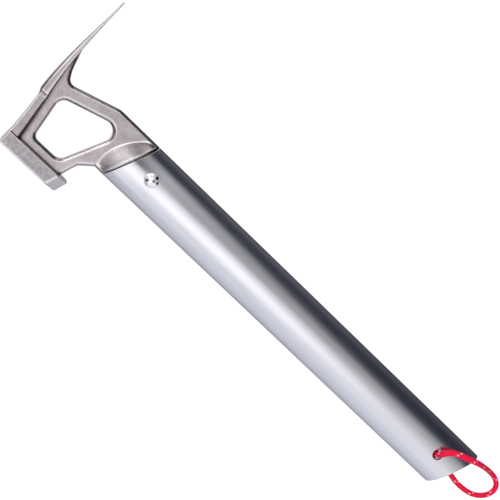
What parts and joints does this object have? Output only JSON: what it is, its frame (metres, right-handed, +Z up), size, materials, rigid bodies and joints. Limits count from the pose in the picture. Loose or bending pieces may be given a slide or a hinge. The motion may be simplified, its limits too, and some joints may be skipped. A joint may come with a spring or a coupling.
{
  "type": "camping stake hammer",
  "caption": "Camping stake hammer with a windowed cast steel head, a striking block, a long stake-pulling pick, a flat-oval tube handle and a wrist cord.",
  "frame": {"origin": "centre of the hammer's footprint, cord left out, on the surface it lies on", "axes": "+X along the handle towards the head, +Y the way the hammer strikes, with the pick pointing along -Y, +Z up, square to the head's flat web"},
  "size_m": [0.3203, 0.086, 0.024],
  "materials": {
    "cast_steel": "satin, fine tumbled casting grain",
    "brushed_aluminium": "clear anodised, very fine lengthwise brushing",
    "polished_steel": "polished",
    "red_cord": "braided, with pale tracer flecks"
  },
  "bodies": {
    "root": {"head_casting": "cast_steel", "handle_tube": "brushed_aluminium", "head_rivet": "polished_steel", "wrist_cord": "red_cord", "cord_knot": "red_cord"}
  },
  "joints": []
}
